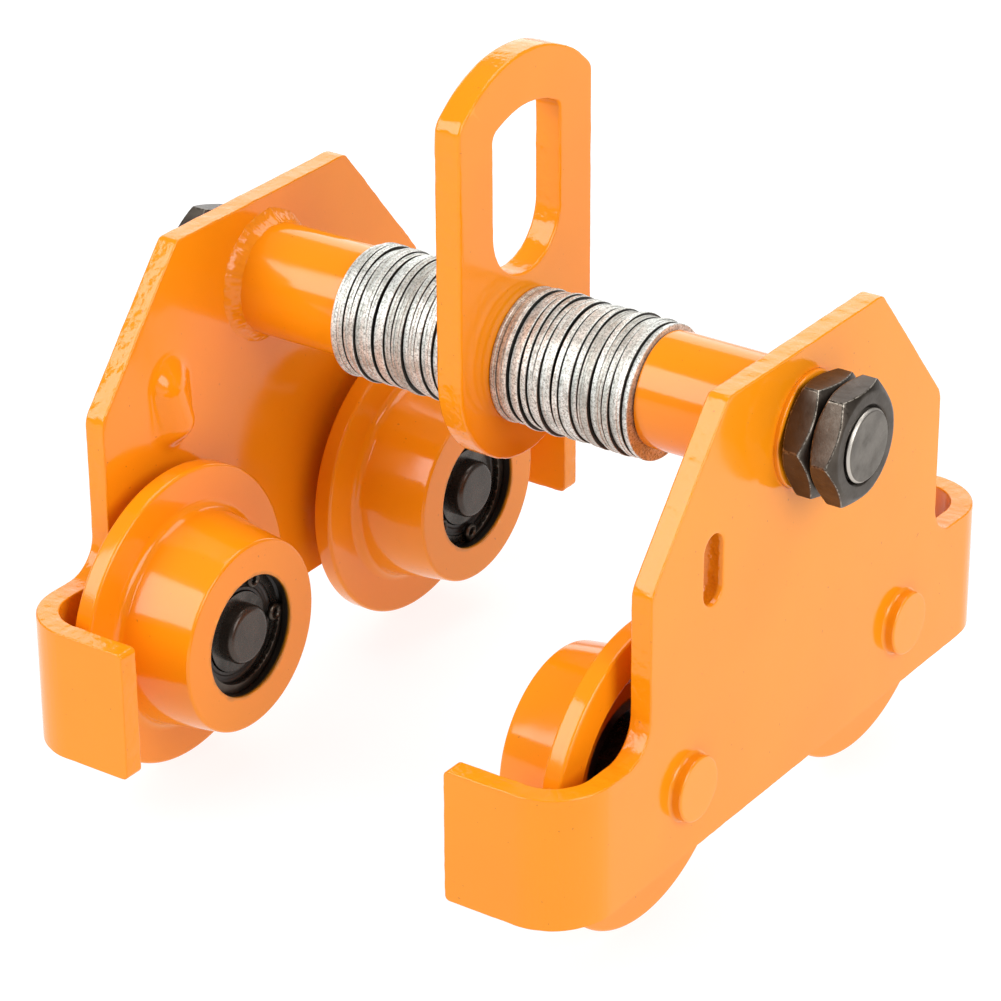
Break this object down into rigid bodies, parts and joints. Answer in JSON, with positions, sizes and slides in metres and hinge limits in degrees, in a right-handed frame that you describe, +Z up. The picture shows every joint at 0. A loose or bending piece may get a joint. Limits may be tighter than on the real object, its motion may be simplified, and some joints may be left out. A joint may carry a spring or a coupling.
{
  "type": "beam trolley",
  "caption": "Push beam trolley with two bent side plates, flanged ball-bearing wheels, an adjustable spindle with spacing washers and a slotted lifting eye.",
  "frame": {"origin": "on the ground under the wheel flanges, midway between the side plates and midway between the front and back wheels", "axes": "+X along the spindle to the right-hand plate, +Y along the beam to the back, +Z up, with the lifting eye standing up (in use the trolley hangs the other way up, eye down)"},
  "size_m": [0.2192, 0.2146, 0.208],
  "materials": {
    "orange_paint": "glossy orange enamel on steel plate",
    "wheel_paint": "glossy orange enamel on a machined steel wheel",
    "zinc_plate": "dull zinc plating",
    "black_oxide": "oiled black oxide",
    "bare_steel": "turned bare steel",
    "axle_steel": "dark oiled steel, painted orange outside the plate",
    "bearing_steel": "ground bearing steel",
    "cage_steel": "pressed steel",
    "seal_rubber": "black moulded rubber"
  },
  "bodies": {
    "frame": {"left_side_plate": "orange_paint", "right_side_plate": "orange_paint", "left_spacer_tube": "orange_paint", "right_spacer_tube": "orange_paint", "left_tube_weld": "orange_paint", "right_tube_weld": "orange_paint", "spindle": "bare_steel", "left_washers": "zinc_plate", "right_washers": "zinc_plate", "left_nut": "black_oxide", "left_lock_nut": "black_oxide", "right_nut": "black_oxide", "right_lock_nut": "black_oxide", "front_left_axle": "axle_steel", "front_left_bearing_inner_ring": "bearing_steel", "back_left_axle": "axle_steel", "back_left_bearing_inner_ring": "bearing_steel", "front_right_axle": "axle_steel", "front_right_bearing_inner_ring": "bearing_steel", "back_right_axle": "axle_steel", "back_right_bearing_inner_ring": "bearing_steel"},
    "lifting_eye": {"lifting_eye": "orange_paint"},
    "front_left_wheel": {"front_left_wheel": "wheel_paint", "front_left_bearing_outer_ring": "bearing_steel", "front_left_bearing_seals": "seal_rubber", "front_left_bore_circlip": "black_oxide"},
    "front_left_ball_set": {"front_left_bearing_balls": "bearing_steel", "front_left_bearing_cage": "cage_steel"},
    "back_left_wheel": {"back_left_wheel": "wheel_paint", "back_left_bearing_outer_ring": "bearing_steel", "back_left_bearing_seals": "seal_rubber", "back_left_bore_circlip": "black_oxide"},
    "back_left_ball_set": {"back_left_bearing_balls": "bearing_steel", "back_left_bearing_cage": "cage_steel"},
    "front_right_wheel": {"front_right_wheel": "wheel_paint", "front_right_bearing_outer_ring": "bearing_steel", "front_right_bearing_seals": "seal_rubber", "front_right_bore_circlip": "black_oxide"},
    "front_right_ball_set": {"front_right_bearing_balls": "bearing_steel", "front_right_bearing_cage": "cage_steel"},
    "back_right_wheel": {"back_right_wheel": "wheel_paint", "back_right_bearing_outer_ring": "bearing_steel", "back_right_bearing_seals": "seal_rubber", "back_right_bore_circlip": "black_oxide"},
    "back_right_ball_set": {"back_right_bearing_balls": "bearing_steel", "back_right_bearing_cage": "cage_steel"}
  },
  "joints": [
    {"name": "eye_swing", "type": "hinge", "parent": "frame", "child": "lifting_eye", "pos_m": [0, 0, 0.1232], "axis": [1, 0, 0], "continuous": true},
    {"name": "front_left_wheel_spin", "type": "hinge", "parent": "frame", "child": "front_left_wheel", "pos_m": [-0.0605, -0.0539, 0.0431], "axis": [1, 0, 0], "continuous": true},
    {"name": "front_left_ball_set_spin", "type": "hinge", "parent": "frame", "child": "front_left_ball_set", "pos_m": [-0.0605, -0.0539, 0.0431], "axis": [1, 0, 0], "continuous": true},
    {"name": "back_left_wheel_spin", "type": "hinge", "parent": "frame", "child": "back_left_wheel", "pos_m": [-0.0605, 0.0539, 0.0431], "axis": [1, 0, 0], "continuous": true},
    {"name": "back_left_ball_set_spin", "type": "hinge", "parent": "frame", "child": "back_left_ball_set", "pos_m": [-0.0605, 0.0539, 0.0431], "axis": [1, 0, 0], "continuous": true},
    {"name": "front_right_wheel_spin", "type": "hinge", "parent": "frame", "child": "front_right_wheel", "pos_m": [0.0605, -0.0539, 0.0431], "axis": [1, 0, 0], "continuous": true},
    {"name": "front_right_ball_set_spin", "type": "hinge", "parent": "frame", "child": "front_right_ball_set", "pos_m": [0.0605, -0.0539, 0.0431], "axis": [1, 0, 0], "continuous": true},
    {"name": "back_right_wheel_spin", "type": "hinge", "parent": "frame", "child": "back_right_wheel", "pos_m": [0.0605, 0.0539, 0.0431], "axis": [1, 0, 0], "continuous": true},
    {"name": "back_right_ball_set_spin", "type": "hinge", "parent": "frame", "child": "back_right_ball_set", "pos_m": [0.0605, 0.0539, 0.0431], "axis": [1, 0, 0], "continuous": true}
  ],
  "couplings": [
    {"joint": "front_left_ball_set_spin", "follows": "front_left_wheel_spin", "ratio": 0.5896},
    {"joint": "back_left_ball_set_spin", "follows": "back_left_wheel_spin", "ratio": 0.5896},
    {"joint": "front_right_ball_set_spin", "follows": "front_right_wheel_spin", "ratio": 0.5896},
    {"joint": "back_right_ball_set_spin", "follows": "back_right_wheel_spin", "ratio": 0.5896}
  ]
}
